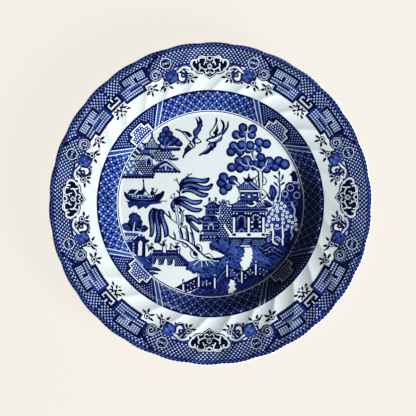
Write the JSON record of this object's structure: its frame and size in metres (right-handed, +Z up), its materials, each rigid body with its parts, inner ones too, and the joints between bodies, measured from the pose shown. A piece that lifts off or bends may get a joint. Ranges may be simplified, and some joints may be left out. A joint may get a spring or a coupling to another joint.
{
  "type": "china dinner plate",
  "caption": "Round blue-and-white transfer-printed dinner plate with a flat well, sloping wall, swirl-fluted rim with a lobed edge, and a foot ring to rest on.",
  "frame": {"origin": "centre of the foot ring's resting face, which is the bottom centre of the plate", "axes": "+Z up out of the well along the axis of turning; +Y is the top of the printed scene as the picture shows it, +X its right"},
  "size_m": [0.2596, 0.2598, 0.0233],
  "materials": {
    "biscuit_earthenware": "bare fired clay, matt, cream white",
    "cobalt_print": "cobalt blue transfer under a glossy glaze, from pale wash to near-black navy",
    "cobalt_edge": "dark cobalt edge line under a glossy glaze, slightly worn at the lip",
    "clear_glaze": "glossy clear lead-free glaze over white earthenware, slightly cool"
  },
  "bodies": {
    "root": {"biscuit_body": "biscuit_earthenware", "centre_scene_print": "cobalt_print", "inner_border_print": "cobalt_print", "rim_border_print": "cobalt_print", "edge_line_print": "cobalt_edge", "face_glaze": "clear_glaze", "back_glaze": "clear_glaze", "foot_recess_glaze": "clear_glaze"}
  },
  "joints": []
}
